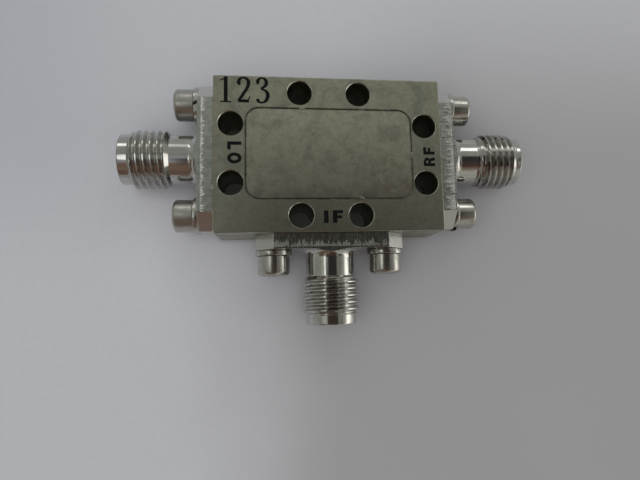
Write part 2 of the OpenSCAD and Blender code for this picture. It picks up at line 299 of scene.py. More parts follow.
def boolean(target, cutter, operation):
    """Applies one exact boolean to a mesh and returns the new mesh."""
    first = add_object("first", target)
    second = add_object("second", cutter)
    cut = first.modifiers.new("cut", "BOOLEAN")
    cut.operation, cut.object, cut.solver = operation, second, "EXACT"
    bpy.context.view_layer.update()
    evaluated = first.evaluated_get(bpy.context.evaluated_depsgraph_get())
    result = bpy.data.meshes.new_from_object(evaluated)
    for item in (first, second):
        bpy.data.objects.remove(item)
    return result


# Materials

class Graph:
    """Short calls for building one node tree."""

    def __init__(self, tree):
        self.tree = tree
        tree.nodes.clear()

    def node(self, kind, inputs=None, **settings):
        made = self.tree.nodes.new(kind)
        for key, value in settings.items():
            setattr(made, key, value)
        for key, value in (inputs or {}).items():
            if value is not None:
                self.put(made.inputs[key], value)
        return made

    def put(self, socket, value):
        if isinstance(value, bpy.types.NodeSocket):
            self.tree.links.new(value, socket)
        else:
            socket.default_value = value

    def math(self, operation, a, b=0.0):
        return self.node("ShaderNodeMath", {0: a, 1: b}, operation=operation).outputs[0]

    def times(self, product, *values):
        for value in values:
            product = self.math("MULTIPLY", product, value)
        return product

    def ramp(self, value, low, high, to_low=0.0, to_high=1.0):
        """Smooth step of value from low to high."""
        made = self.node("ShaderNodeMapRange", {0: value, 1: low, 2: high, 3: to_low, 4: to_high},
                         interpolation_type="SMOOTHSTEP")
        return made.outputs[0]

    def band(self, value, low, high, soft):
        """1 between low and high, with soft ends."""
        return self.times(self.ramp(value, low - soft, low + soft),
                          self.ramp(value, high - soft, high + soft, 1.0, 0.0))

    def mix(self, factor, a, b):
        made = self.node("ShaderNodeMix", data_type="RGBA")
        self.put(made.inputs[0], factor)
        self.put(made.inputs[6], a)
        self.put(made.inputs[7], b)
        return made.outputs[2]

    def blend(self, factor, a, b):
        """Plain mix of two values."""
        made = self.node("ShaderNodeMix", data_type="FLOAT")
        for index, value in ((0, factor), (2, a), (3, b)):
            self.put(made.inputs[index], value)
        return made.outputs[0]

    def layers(self, colour, coats):
        """Colour under coats of (share, colour), each over the one before."""
        for share, coat in coats:
            colour = self.mix(share, colour, coat)
        return colour

    def length(self, a, b):
        """Length of a flat vector."""
        return self.math("SQRT", self.math("ADD", self.times(a, a), self.times(b, b)))

    def noise(self, vector, scale, detail=2.0, roughness=0.5, distortion=0.0):
        made = self.node("ShaderNodeTexNoise", {
            "Vector": vector, "Scale": scale, "Detail": detail,
            "Roughness": roughness, "Distortion": distortion})
        return made.outputs["Fac"]

    def place(self, scale=(1, 1, 1), turn=(0, 0, 0), shift=(0, 0, 0)):
        """Object coordinates in millimetres, scaled and turned."""
        where = self.node("ShaderNodeTexCoord").outputs["Object"]
        made = self.node("ShaderNodeMapping", {
            "Vector": where, "Scale": [s / MM for s in scale], "Rotation": turn, "Location": shift})
        return made.outputs["Vector"]

    def split(self, vector):
        """X, Y and Z of a vector."""
        return tuple(self.node("ShaderNodeSeparateXYZ", {0: vector}).outputs)

    def bump(self, height, distance, strength, normal=None):
        """Bumps up to distance in millimetres, on top of another normal."""
        made = self.node("ShaderNodeBump", {"Height": height, "Strength": strength,
                                            "Distance": distance * MM, "Normal": normal})
        return made.outputs["Normal"]

    def surface(self, colour, rough, normal=None, metallic=1.0, **others):
        inputs = {"Base Color": colour, "Roughness": rough, "Metallic": metallic, "Normal": normal}
        inputs.update({key.replace("_", " "): value for key, value in others.items()})
        self.finish("ShaderNodeOutputMaterial", self.node("ShaderNodeBsdfPrincipled", inputs))

    def finish(self, output, shader):
        """Joins a shader to the tree's output node."""
        self.node(output, {0: shader.outputs[0]})


def new_graph(name):
    material = bpy.data.materials.new(name)
    material.use_nodes = True
    return material, Graph(material.node_tree)


def rgb(r, g, b):
    return (r, g, b, 1.0)


def plated_metal(name, base, stain, warm, smudge_edge=None):
    """Dull plated metal: cloudy stains, speckle, fine scratches, grime along the seam, worn edges.

    smudge_edge is the Y of the edge that smudges gather at, for the cover alone."""
    material, g = new_graph(name)
    where = g.place()
    x, y, _ = g.split(where)
    cloud = g.noise(where, 0.35, 4.0, 0.6, 0.6)
    grain = g.noise(where, 9.0, 3.0, 0.65)
    blotch = g.noise(g.place(shift=(4, 9, 2)), 1.5, 3.0, 0.6, 0.8)
    fleck = g.noise(g.place(shift=(7, 3, 1)), 3.6, 2.0, 0.5)
    # Stains and warm clouds, then blotches, grain, dark flecks and light flecks
    colour = g.layers(base, [
        (g.ramp(cloud, 0.42, 0.68), stain),
        (g.times(g.ramp(g.noise(where, 0.8, 2.0), 0.55, 0.75), 0.5), warm),
        (g.ramp(blotch, 0.4, 0.7, 0.0, 0.3), rgb(0.22, 0.22, 0.18)),
        (g.ramp(grain, 0.35, 0.7, 0.0, 0.34), rgb(0.18, 0.18, 0.15)),
        (g.ramp(fleck, 0.66, 0.76, 0.0, 0.6), rgb(0.12, 0.11, 0.09)),
        (g.ramp(fleck, 0.34, 0.24, 0.0, 0.45), rgb(0.5, 0.5, 0.42)),
    ])
    if smudge_edge is not None:
        near = g.ramp(y, smudge_edge + 0.2, smudge_edge + 1.7, 1.0, 0.0)
        patchy = g.ramp(g.noise(g.place((1, 0.6, 1)), 0.9, 3.0), 0.3, 0.65)
        rusty_corner = g.times(g.ramp(x, 2.0, 8.0), g.ramp(y, 1.0, -4.0))
        colour = g.layers(colour, [
            (g.times(near, patchy, 0.55), rgb(0.16, 0.16, 0.15)),
            (g.times(rusty_corner, g.ramp(blotch, 0.3, 0.7, 0.1, 0.55)), rgb(0.3, 0.23, 0.18)),
        ])

    # Grime along the cover's seam, and bright wear where an edge is round
    across = g.math("MAXIMUM", g.math("SUBTRACT", g.math("ABSOLUTE", x), COVER_W / 2 - COVER_R), 0.0)
    along = g.math("MAXIMUM", g.math("SUBTRACT", g.math("ABSOLUTE", y), COVER_D / 2 - COVER_R), 0.0)
    seam = g.math("ABSOLUTE", g.math("SUBTRACT", g.length(across, along), COVER_R + COVER_GAP / 2))
    grime = g.times(g.ramp(seam, 0.05, 0.2, 0.75, 0.0), g.ramp(blotch, 0.25, 0.6, 0.4, 1.0))
    facing = g.split(g.node("ShaderNodeTexCoord").outputs["Normal"])[2]
    wear = g.times(g.band(g.math("ABSOLUTE", facing), 0.3, 0.9, 0.06),
                   g.ramp(g.noise(where, 2.2, 2.0), 0.35, 0.6, 0.1, 0.9))
    colour = g.layers(colour, [(grime, rgb(0.06, 0.055, 0.045)), (wear, rgb(0.6, 0.6, 0.54))])

    scratch = g.noise(g.place((0.25, 9, 1), (0, 0, 0.2)), 1.0, 2.0, 0.5)
    rough = g.math("ADD", g.times(grain, 0.22), 0.22)
    rough = g.math("ADD", rough, g.times(g.ramp(cloud, 0.4, 0.7), 0.1))
    rough = g.math("SUBTRACT", rough, g.times(wear, 0.22))
    normal = g.bump(grain, 0.012, 0.5)
    normal = g.bump(scratch, 0.006, 0.35, normal)
    g.surface(colour, rough, normal)
    return material


def lathe_marks(g):
    """Fine rings about the piece's Z, and faint smears."""
    ring = g.noise(g.place((0.1, 0.1, 16)), 1.0, 2.0, 0.6)
    smear = g.noise(g.place((1, 1, 0.5)), 1.3, 4.0, 0.6, 0.4)
    return ring, smear


def turned_steel(name, base, rough_low, rough_high, speck):
    """Steel turned on a lathe, with dark specks."""
    material, g = new_graph(name)
    where = g.place()
    ring, smear = lathe_marks(g)
    grain = g.noise(where, 14.0, 2.0, 0.6)
    colour = g.layers(base, [
        (g.ramp(smear, 0.35, 0.75), rgb(*[c * 0.78 for c in base[:3]])),
        (g.times(g.ramp(g.noise(where, 5.0, 2.0), 0.62, 0.72), speck), rgb(0.16, 0.12, 0.09)),
    ])
    normal = g.bump(ring, 0.003, 0.2)
    normal = g.bump(grain, 0.004, 0.5, normal)
    g.surface(colour, g.ramp(smear, 0.3, 0.75, rough_low, rough_high), normal)
    return material


def jack_steel(name, lines, grit, teeth, teeth_from, teeth_reach, gloss, end_gloss,
               groove_dirt_and_shade, start_shade):
    """Jack steel: bright turned parts, satin flange ends, and milled long edges.

    lines is how deep the cutter's cross lines are, grit how rough the metal between them is,
    teeth how bright the torn marks, teeth_from where they start below the outer face and
    teeth_reach how far they go, in millimetres. gloss is the roughness of the milled edges,
    end_gloss that of the flange's ends. The last two darken the thread: its grooves with dirt and
    painted shade, its first chamfer with painted shade."""
    material, g = new_graph(name)
    where = g.place()
    x, y, z = g.split(where)
    ring, smear = lathe_marks(g)
    grain = g.noise(where, 12.0, 2.0, 0.6)
    cross = g.noise(g.place((8, 1, 0.8), (0, 0.22, 0)), 1.0, 3.0, 0.65, 0.3)
    patch = g.noise(g.place((1.6, 1, 1.2)), 1.0, 3.0, 0.6)
    peaks = g.noise(g.place((3.6, 0.1, 0.1), shift=(3, 0, 0)), 1.0, 4.0, 0.75)

    # Where the long edges and the ends of the flange are
    milled = g.times(g.ramp(g.math("ABSOLUTE", y), FLANGE_H / 2 - 0.05, FLANGE_H / 2 - 0.03),
                     g.ramp(z, 2.62, 2.68, 1.0, 0.0))
    ends = g.times(g.ramp(g.math("ABSOLUTE", x), 6.0, 6.12), g.ramp(z, FLANGE_T - 0.03, FLANGE_T, 1.0, 0.0),
                   g.math("SUBTRACT", 1.0, milled))

    # Marks torn by the cutter, below the flange's outer face
    depth = g.math("SUBTRACT", FLANGE_T - teeth_from, z)
    reach = g.ramp(peaks, 0.36, 0.72, 0.0, teeth_reach)
    torn = g.times(g.ramp(g.math("SUBTRACT", reach, depth), -0.06, 0.05), g.ramp(depth, -0.06, 0.02),
                   g.ramp(g.noise(where, 6.0, 3.0, 0.7), 0.36, 0.56), milled, teeth)

    # Dirt and painted shade in the thread's grooves, and painted shade on its first chamfer
    groove = g.times(g.ramp(g.length(x, y), THREAD_R - 0.26, THREAD_R - 0.05, 1.0, 0.0),
                     g.ramp(z, THREAD_FROM + 0.4, THREAD_FROM + 0.48),
                     g.ramp(z, THREAD_TO - 0.1, THREAD_TO, 1.0, 0.0))
    chamfer = g.times(g.band(z, THREAD_FROM, THREAD_FROM + 0.45, 0.03), start_shade)
    dirt_and_shade = g.math("MAXIMUM", g.times(groove, groove_dirt_and_shade), chamfer)

    # Turned steel, darkened in the grooves by dirt and painted shade, and on the first chamfer by painted
    # shade
    steel = g.layers(rgb(0.64, 0.635, 0.61), [
        (g.ramp(smear, 0.35, 0.75), rgb(0.5, 0.495, 0.475)),
        (dirt_and_shade, rgb(0.14, 0.12, 0.1)),
    ])
    chatter = g.ramp(g.noise(g.place((5, 1, 1.6), (0, 0.5, 0), (2, 0, 5)), 1.0, 4.0, 0.7, 1.2), 0.5, 0.62)
    face = g.layers(rgb(0.54, 0.56, 0.52), [
        (g.ramp(patch, 0.3, 0.7), rgb(0.4, 0.42, 0.39)),
        (g.times(chatter, lines * 0.9), rgb(0.14, 0.13, 0.12)),
    ])
    colour = g.layers(steel, [
        (milled, face),
        (g.times(ends, 0.7), rgb(0.66, 0.66, 0.62)),
        (torn, rgb(0.8, 0.8, 0.78)),
    ])
    rough = g.ramp(smear, 0.3, 0.75, 0.07, 0.15)
    rough = g.blend(milled, rough, g.ramp(cross, 0.3, 0.7, gloss, gloss + 0.14))
    rough = g.blend(ends, rough, end_gloss)
    rough = g.blend(torn, rough, 0.6)
    normal = g.bump(ring, 0.002, 0.15)
    normal = g.bump(g.times(cross, milled), 0.03, lines, normal)
    normal = g.bump(g.times(grain, milled), 0.01, grit, normal)
    normal = g.bump(torn, 0.03, 0.8, normal)
    g.surface(colour, rough, normal, g.math("SUBTRACT", 1.0, g.times(torn, 0.8)))
    return material


def plain_finish(name, base, rough, metallic, scale=3.0, grain=0.01, **others):
    """Finish of a small or hidden piece: soft mottling and a fine grain."""
    material, g = new_graph(name)
    where = g.place()
    mottle = g.noise(where, scale, 3.0, 0.6)
    colour = g.mix(g.ramp(mottle, 0.3, 0.7), base, [c * 0.72 for c in base[:3]] + [1.0])
    normal = g.bump(g.noise(where, scale * 4, 2.0), grain, 0.4)
    g.surface(colour, g.ramp(mottle, 0.3, 0.7, rough, rough + 0.12), normal, metallic, **others)
    return material


HOUSING_METAL = plated_metal("housing_metal", rgb(0.46, 0.46, 0.37), rgb(0.33, 0.335, 0.275),
                             rgb(0.39, 0.36, 0.28))
COVER_METAL = plated_metal("cover_metal", rgb(0.55, 0.545, 0.44), rgb(0.38, 0.375, 0.31),
                           rgb(0.38, 0.32, 0.25), smudge_edge=-COVER_D / 2)
# Each jack's last two values set how much dirt and painted shade darken its thread's grooves, and how much
# painted shade darkens its first chamfer
JACK_STEELS = {
    "lo": jack_steel("lo_steel", lines=0.12, grit=0.7, teeth=0.95, teeth_from=0.42, teeth_reach=0.5,
                     gloss=0.2, end_gloss=0.2, groove_dirt_and_shade=0.1, start_shade=0.15),
    "rf": jack_steel("rf_steel", lines=0.85, grit=0.9, teeth=0.5, teeth_from=0.2, teeth_reach=1.3,
                     gloss=0.3, end_gloss=0.2, groove_dirt_and_shade=0.35, start_shade=0.3),
    "if": jack_steel("if_steel", lines=0.06, grit=0.3, teeth=0.2, teeth_from=0.2, teeth_reach=0.85,
                     gloss=0.16, end_gloss=0.16, groove_dirt_and_shade=0.12, start_shade=0.0),
}
SATIN_SCREW = turned_steel("satin_screw_steel", rgb(0.56, 0.555, 0.52),
                           rough_low=0.26, rough_high=0.4, speck=0.25)
SHINY_SCREW = turned_steel("shiny_screw_steel", rgb(0.6, 0.59, 0.55),
                           rough_low=0.17, rough_high=0.31, speck=0.3)
WASHER_STEEL = turned_steel("washer_steel", rgb(0.6, 0.6, 0.57),
                            rough_low=0.15, rough_high=0.32, speck=0.6)
BRIGHT_METAL = plain_finish("bright_metal", rgb(0.8, 0.8, 0.76), 0.2, 1.0, 4.0)
INK = plain_finish("black_ink", rgb(0.005, 0.005, 0.006), 0.5, 0.0, 6.0, 0.006, Specular_IOR_Level=0.15)
GOLD = plain_finish("gold_plate", rgb(0.83, 0.62, 0.27), 0.2, 1.0)
PTFE = plain_finish("white_insulator", rgb(0.86, 0.86, 0.83), 0.5, 0.0, 2.0)
SEAL_METAL = plain_finish("seal_metal", rgb(0.58, 0.56, 0.48), 0.3, 1.0)
SEAL_GLASS = plain_finish("seal_glass", rgb(0.12, 0.25, 0.2), 0.08, 0.0, 5.0, 0.002)
ABSORBER = plain_finish("absorber_pad", rgb(0.03, 0.03, 0.032), 0.75, 0.0, 8.0, 0.05)
ALUMINA = plain_finish("alumina_board", rgb(0.82, 0.82, 0.78), 0.45, 0.0, 4.0)
CHIP = plain_finish("diode_chip", rgb(0.05, 0.05, 0.06), 0.2, 0.0, 6.0)
CAPACITOR = plain_finish("capacitor_body", rgb(0.5, 0.36, 0.24), 0.4, 0.0, 5.0)


# Housing

def hole_centres():
    pairs = [(SIDE_HOLE_X, HOLE_PITCH / 2), (HOLE_PITCH / 2, END_HOLE_Y)]
    return [(sx * x, sy * y) for x, y in pairs for sx in (-1, 1) for sy in (-1, 1)]


def make_housing():
    skin = Skin()
    top, bottom = skin.slab(lambda inset, z: rounded(BODY_W, BODY_D, CORNER_R, z, inset),
                            round_edge(EDGE_ROUND), 0, BODY_H)
    tops, bottoms = zip(*[
        skin.slab(lambda inset, z: circle(HOLE_R + inset, z, 72, centre), HOLE_RIM, 0, BODY_H)
        for centre in hole_centres()])

    def recess(inset, z):
        return skin.ring(rounded(COVER_W, COVER_D, COVER_R, z, inset))

    wall = [recess(-COVER_GAP - inset, BODY_H - drop) for inset, drop in round_edge(RECESS_LIP, 3)]
    wall += [recess(-COVER_GAP, LEDGE_Z), recess(LEDGE_W, LEDGE_Z), recess(LEDGE_W, FLOOR_Z)]
    skin.chain(wall)
    skin.fill(wall[-1])
    skin.fill(top, [*tops, wall[0]])
    skin.fill(bottom, bottoms)
    data = skin.mesh("housing_blank")
    for cutter in port_cutters():
        data = boolean(data, cutter, "DIFFERENCE")
    shade(data)
    data.name = "housing_mesh"
    piece("housing_block", data, HOUSING_METAL, "housing")


def port_cutters():
    """Seal bores, air lines and tapped holes of the three ports, as closed meshes."""
    cutters = []
    for port in PORTS:
        wall = (BODY_D - COVER_D if port == "if" else BODY_W - COVER_W) / 2 + LEDGE_W
        shapes = [(0.0, [(SEAL_BORE_R, OVERCUT), (SEAL_BORE_R, -SEAL_BORE_L), (AIR_LINE_R, -SEAL_BORE_L),
                         (AIR_LINE_R, -wall - 0.3)])]
        for x in (-SCREW_PITCH / 2, SCREW_PITCH / 2):
            shapes.append((x, [(TAPPED_R, OVERCUT), (TAPPED_R, -TAPPED_L)]))
        for x, profile in shapes:
            data = revolve("port_cutter", profile, count=48)
            data.transform(port_matrix(port, x))
            cutters.append(data)
    return cutters


def make_cover():
    skin = Skin()
    for ring in skin.slab(lambda inset, z: rounded(COVER_W, COVER_D, COVER_R, z, inset),
                          round_edge(COVER_EDGE, 3), LEDGE_Z, BODY_H):
        skin.fill(ring)
    piece("cover_plate", skin.mesh("cover_mesh"), COVER_METAL, "cover")


# Jacks

# Thread from root to crest as shares of the turn and of the depth, and then the whole turn
THREAD_RISE = [(0.0, 0.0), (0.07, 0.0), (0.09, 0.02), (0.11, 0.07), (0.24, 0.45), (0.37, 0.84),
               (0.39, 0.9), (0.405, 0.95), (0.415, 0.985), (0.425, 1.0), (0.5, 1.0)]
THREAD_TURN = THREAD_RISE + [(1 - share, height) for share, height in THREAD_RISE[-2:0:-1]]


def helix(skin, crest, depth, pitch, z_from, z_to, limit, count):
    """Rows of a right-hand thread that follow its own helix, cut square at both ends.

    limit(z) is the largest radius there. The returned rows lie at z_from and z_to."""
    columns = []
    first = math.floor(z_from / pitch) - 2
    last = math.ceil(z_to / pitch) + 1
    for i in range(count):
        column = []
        for turn in range(first, last + 1):
            for share, height in THREAD_TURN:
                z = (turn + share + i / count) * pitch
                held = min(max(z, z_from), z_to)
                r = crest - depth + depth * height if held == z else crest
                column.append((min(r, limit(held)), held))
        columns.append(column)
    around = angles(count)
    rows = [skin.ring([(r * math.cos(a), r * math.sin(a), z) for a, (r, z) in zip(around, row)])
            for row in zip(*columns)]
    for k in range(len(rows) - 1):
        for i in range(count - 1):
            skin.faces.append((rows[k][i], rows[k][i + 1], rows[k + 1][i + 1], rows[k + 1][i]))
        after = k + len(THREAD_TURN)
        if after + 1 < len(rows):
            skin.faces.append((rows[k][-1], rows[after][0], rows[after + 1][0], rows[k + 1][-1]))
    return rows[0], rows[-1]


def turned_part(start_slope, end, end_slope, turn):
    """Fillet, barrel, thread and collar as one closed solid.

    The thread's crests rise from the barrel with start_slope, and run out into the collar at end
    with end_slope."""
    skin = Skin()
    count = 120
    fillet = [(BARREL_R + inset, FLANGE_T + drop) for inset, drop in round_edge(FILLET_R, 10)]
    foot = skin.turned([(BARREL_R + FILLET_R, FLANGE_T - 0.4), *fillet,
                        (BARREL_R, FLANGE_T + FILLET_R + 0.06), (BARREL_R, THREAD_FROM - 0.1)], count)

    def limit(z):
        return min(THREAD_R, BARREL_R + (z - THREAD_FROM) * start_slope,
                   COLLAR_R + (end - z) * end_slope)

    low, high = helix(skin, THREAD_R, THREAD_DEPTH, PITCH, THREAD_FROM, end, limit, count)
    front = skin.turned([(COLLAR_R, end + 0.04), (COLLAR_R, SHELL_L - COLLAR_EDGE - 0.04),
                         (COLLAR_R, SHELL_L - COLLAR_EDGE), (COLLAR_R - 0.03, SHELL_L - 0.03),
                         (COLLAR_R - COLLAR_EDGE, SHELL_L)], count)
    skin.chain(foot + [low])
    skin.chain([high] + front)
    skin.cap([foot[0], front[-1]])
    data = skin.mesh("turned_part")
    data.transform(Matrix.Rotation(turn, 4, "Z"))
    return data


def flange_ring(inset, z):
    """Outline of the flange: a rectangle whose four corners are chamfered, its edges just broken."""
    end_x, edge_y = FLANGE_L / 2 - inset, FLANGE_H / 2 - inset
    cut = FLANGE_L / 2 + FLANGE_H / 2 - FLANGE_CHAMFER - inset * math.sqrt(2)
    quarter = [(end_x, cut - end_x), (cut - edge_y, edge_y)]
    corners = [Vector(c) for c in quarter]
    corners += [Vector((-x, y)) for x, y in reversed(quarter)]
    corners += [Vector((-x, -y)) for x, y in quarter]
    corners += [Vector((x, -y)) for x, y in reversed(quarter)]
    broken, steady = 0.035, 0.065
    points = []
    for i, corner in enumerate(corners):
        before = (corners[i - 1] - corner).normalized()
        after = (corners[(i + 1) % len(corners)] - corner).normalized()
        for share_before, share_after in ((steady, 0), (broken, 0), (0.26 * broken, 0.26 * broken),
                                          (0, broken), (0, steady)):
            point = corner + before * share_before + after * share_after
            points.append((point.x, point.y, z))
    return points


def flange_plate():
    skin = Skin()
    edge = round_edge(FLANGE_EDGE, 3) + [(0.0, FLANGE_RIM)]
    top, bottom = skin.slab(flange_ring, edge, 0, FLANGE_T)
    tops, bottoms = zip(*[
        skin.slab(lambda inset, z: circle(FLANGE_HOLE_R + inset, z, 48, (x, 0)), edge, 0, FLANGE_T)
        for x in (-SCREW_PITCH / 2, SCREW_PITCH / 2)])
    skin.fill(top, tops)
    skin.fill(bottom, bottoms)
    return skin.mesh("flange_plate")


def box_mesh(x, y, z):
    """Box between the low and high end of each axis."""
    skin = Skin()
    rings = [skin.ring(rectangle(x, y, height)) for height in z]
    skin.chain(rings)
    skin.cap(rings)
    return skin.mesh("box")


def shell_mesh(thread):
    """The turned part, cut flat with the flange's long edges, joined to the flange and bored out."""
    data = turned_part(*thread)
    past, low, high = 6, 0.5, 3.2
    for y in ((-past, -FLANGE_H / 2), (FLANGE_H / 2, past)):
        data = boolean(data, box_mesh((-past, past), y, (low, high)), "DIFFERENCE")
    data = boolean(flange_plate(), data, "UNION")
    bore = revolve("bore", [(CORE_R, -OVERCUT), (CORE_R, CORE_L), (MOUTH_R, CORE_L),
                            (MOUTH_R, SHELL_L - MOUTH_LIP), (MOUTH_R + MOUTH_LIP, SHELL_L),
                            (MOUTH_R + MOUTH_LIP, SHELL_L + OVERCUT)], count=96)
    return boolean(data, bore, "DIFFERENCE")


def make_shells():
    for port, thread in THREADS.items():
        data = shell_mesh(thread)
        shade(data)
        data.name = port + "_shell_mesh"
        piece(port + "_jack", data, JACK_STEELS[port], port + "_shell", port_matrix(port))


# Screws and washers

def hexagon(across, z, count):
    """Ring of a hexagon with points at even angles, to join with round rings."""
    points = []
    for a in angles(count):
        r = across / 2 / math.cos(a % (math.pi / 3) - math.pi / 6)
        points.append((r * math.cos(a), r * math.sin(a), z))
    return points


def screw_mesh():
    """Cap screw from its tip up to the head, and down into the socket."""
    skin = Skin()
    count = 72
    tip, top = SEAT - SCREW_L, SEAT + HEAD_H
    start = tip + 0.06

    def limit(z):
        return min(SHANK_R, SHANK_R - 0.22 + z - start)

    end = skin.turned([(SHANK_R - 0.3, tip), (SHANK_R - 0.24, tip + 0.04)], count)
    low, high = helix(skin, SHANK_R, SCREW_THREAD_DEPTH, SCREW_THREAD_PITCH, start, SEAT - 0.35,
                      limit, count)
    skin.chain(end + [low])
    head = [(SHANK_R - 0.05, SEAT - 0.3), (SHANK_R - 0.05, SEAT - 0.02), (SHANK_R + 0.05, SEAT),
            (HEAD_R - 0.08, SEAT), (HEAD_R, SEAT + 0.08)]
    head += [(HEAD_R - drop, top - inset) for inset, drop in round_edge(HEAD_ROUND, 8)]
    head.append((HEX_AF / 2 / math.cos(math.pi / 6) + 0.06, top))
    rings = [high] + skin.turned(head, count)
    for across, z in ((HEX_AF + 0.04, top - 0.1), (HEX_AF, top - 0.14), (HEX_AF, top - HEX_DEPTH)):
        rings.append(skin.ring(hexagon(across, z, count)))
    rings += skin.turned([(0.75, top - HEX_DEPTH - 0.02), (0.02, top - HEX_DEPTH - 0.3)], count)
    skin.chain(rings)
    skin.cap([end[0], rings[-1]])
    return skin.mesh("screw_mesh", smooth_angle=30)


def washer_mesh(seed):
    """Split ring of spring wire, its ends cut on a slant, the last one with a flat left by the cutter."""
    skin = Skin()
    steps = 120
    inner, outer = WASHER_BORE_R + WASHER_EDGE, WASHER_R - WASHER_EDGE
    low, high = WASHER_EDGE, WASHER_T - WASHER_EDGE
    section = []
    for r, z, start in ((outer, high, 0), (inner, high, 90), (inner, low, 180), (outer, low, 270)):
        for i in range(4):
            a = math.radians(start + 30 * i)
            section.append((r + WASHER_EDGE * math.cos(a), z + WASHER_EDGE * math.sin(a)))
    gap = WASHER_CUT / math.cos(CUT_SLANT) / 2
    # The cutter's flat: how far out, its tilt and its start from the end. Then the depth of dents
    flat, flat_tilt, flat_from, dent = WASHER_R * math.cos(0.53), math.tan(0.17), 0.16, 0.016
    rings = []
    for k in range(steps + 1):
        points = []
        for r, z in section:
            lean = (z - WASHER_T / 2) * math.tan(CUT_SLANT)
            first = math.pi / 2 + math.asin((gap - lean) / r)
            last = math.pi / 2 + math.tau - math.asin((gap + lean) / r)
            a = first + (last - first) * k / steps
            place = Vector((r * math.cos(a) * 3.5, r * math.sin(a) * 3.5, z * 4 + seed))
            cutter = (flat - (z - WASHER_T / 2) * flat_tilt) / math.cos(min(1.2, last - a + flat_from))
            held = min(r, cutter) + dent * noise.noise(place)
            points.append((held * math.cos(a), held * math.sin(a), FLANGE_T + z))
        rings.append(skin.ring(points))
    skin.chain(rings)
    skin.cap(rings)
    return skin.mesh("washer_mesh", smooth_angle=40)


def make_screws():
    base = screw_mesh()
    dice = random.Random(5)
    for node, (port, side, _) in SCREWS.items():
        turn = Matrix.Rotation(dice.uniform(0, math.tau), 4, "Z")
        matrix = port_matrix(port, side * SCREW_PITCH / 2) @ turn
        steel = SATIN_SCREW if port == "lo" else SHINY_SCREW
        piece(node.replace("screw", "cap_screw"), base.copy(), steel, node, matrix)


def make_washers():
    for seed, (screw, (port, side, turn)) in enumerate(SCREWS.items()):
        node = screw.replace("screw", "washer")
        matrix = port_matrix(port, side * SCREW_PITCH / 2) @ Matrix.Rotation(math.radians(turn), 4, "Z")
        piece(node.replace("washer", "split_washer"), washer_mesh(seed), WASHER_STEEL, node,
              matrix)


make_housing()
make_cover()
make_shells()
make_screws()
make_washers()

# CAD nodes that stay, with their finish
FINISHES = {
    "insulator": PTFE, "contact": GOLD, "seal_ring": SEAL_METAL, "seal_glass": SEAL_GLASS, "seal_pin": GOLD,
    "line": GOLD, "cover_absorber": ABSORBER, "carrier_plate": GOLD, "circuit_board": ALUMINA,
    "diode_quad": CHIP, "if_capacitor": CAPACITOR,
}
for node_name, node_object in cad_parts.items():
    for ending, finish in FINISHES.items():
        if node_name.endswith(ending):
            node_object.data.materials.clear()
            node_object.data.materials.append(finish)


# Lettering, as thin ink on the housing's top

def smooth_path(points):
    """Smooth curve through the points."""
    steps = 8
    p = [Vector(q) for q in (points[0], *points, points[-1])]
    path = []
    for a, b, c, d in zip(p, p[1:], p[2:], p[3:]):
        for k in range(steps):
            t = k / steps
            path.append(0.5 * ((2 * b) + (c - a) * t + (2 * a - 5 * b + 4 * c - d) * t ** 2
                               + (3 * b - a - 3 * c + d) * t ** 3))
    return path + [p[-1]]


def stroke(points, width, thin=None):
    """Outline of a pen stroke along a smooth path. thin is the width where the path runs sideways."""
    path = smooth_path(points) if len(points) > 2 else [Vector(p) for p in points]
    left, right = [], []
    for i, p in enumerate(path):
        ahead = path[min(i + 1, len(path) - 1)] - path[max(i - 1, 0)]
        ahead.normalize()
        w = width if thin is None else thin + (width - thin) * abs(ahead.y) ** 1.5
        side = Vector((-ahead.y, ahead.x)) * w / 2
        left.append(p + side)
        right.append(p - side)
    return left + right[::-1]


def oval(cx, cy, rx, ry, count=40):
    return [Vector((cx + rx * math.cos(a), cy + ry * math.sin(a))) for a in angles(count)]


def letter_shapes(bold):
    """Letters in a cell one unit high: width, filled outlines, and outlines of gaps."""
    stem = stroke([(0.12, 0), (0.12, 1)], bold)
    return {
        "L": (0.62, [stem, stroke([(0, 0.11), (0.62, 0.11)], bold * 0.92)], []),
        "O": (0.86, [oval(0.43, 0.5, 0.43, 0.51)],
              [oval(0.43, 0.5, 0.43 - bold * 0.95, 0.51 - bold * 0.92)]),
        "R": (0.76, [stem,
                     stroke([(0.1, 0.895), (0.42, 0.895), (0.62, 0.72), (0.42, 0.5), (0.1, 0.5)],
                            bold * 0.85),
                     stroke([(0.36, 0.5), (0.5, 0.42), (0.58, 0.2), (0.64, 0.0)], bold)], []),
        "F": (0.62, [stem, stroke([(0, 0.895), (0.62, 0.895)], bold * 0.9),
                     stroke([(0.1, 0.5), (0.56, 0.5)], bold * 0.85)], []),
        "I": (0.24, [stem], []),
        "1": (0.5, [stroke([(0.27, 0.02), (0.27, 1.0)], 0.15), stroke([(0.05, 0.02), (0.49, 0.02)], 0.05),
                    stroke([(0.06, 0.86), (0.18, 0.9), (0.3, 0.985)], 0.05)], []),
        "2": (0.52, [stroke([(0.05, 0.72), (0.1, 0.9), (0.26, 0.975), (0.43, 0.86), (0.42, 0.64),
                             (0.26, 0.36), (0.05, 0.06)], 0.14, 0.06),
                     stroke([(0.04, 0.06), (0.46, 0.06)], 0.12), stroke([(0.42, 0.06), (0.5, 0.24)], 0.05),
                     oval(0.08, 0.73, 0.065, 0.065, 20)], []),
        "3": (0.5, [stroke([(0.06, 0.78), (0.12, 0.92), (0.27, 0.975), (0.4, 0.87), (0.39, 0.69),
                            (0.2, 0.54)], 0.14, 0.06),
                    stroke([(0.2, 0.54), (0.4, 0.46), (0.47, 0.27), (0.37, 0.06), (0.2, 0.005),
                            (0.05, 0.08)], 0.15, 0.06),
                    oval(0.08, 0.78, 0.06, 0.06, 20), oval(0.08, 0.1, 0.065, 0.065, 20)], []),
    }


INK_T, INK_SHAKE, INK_WAVES = 0.012, 0.02, 9


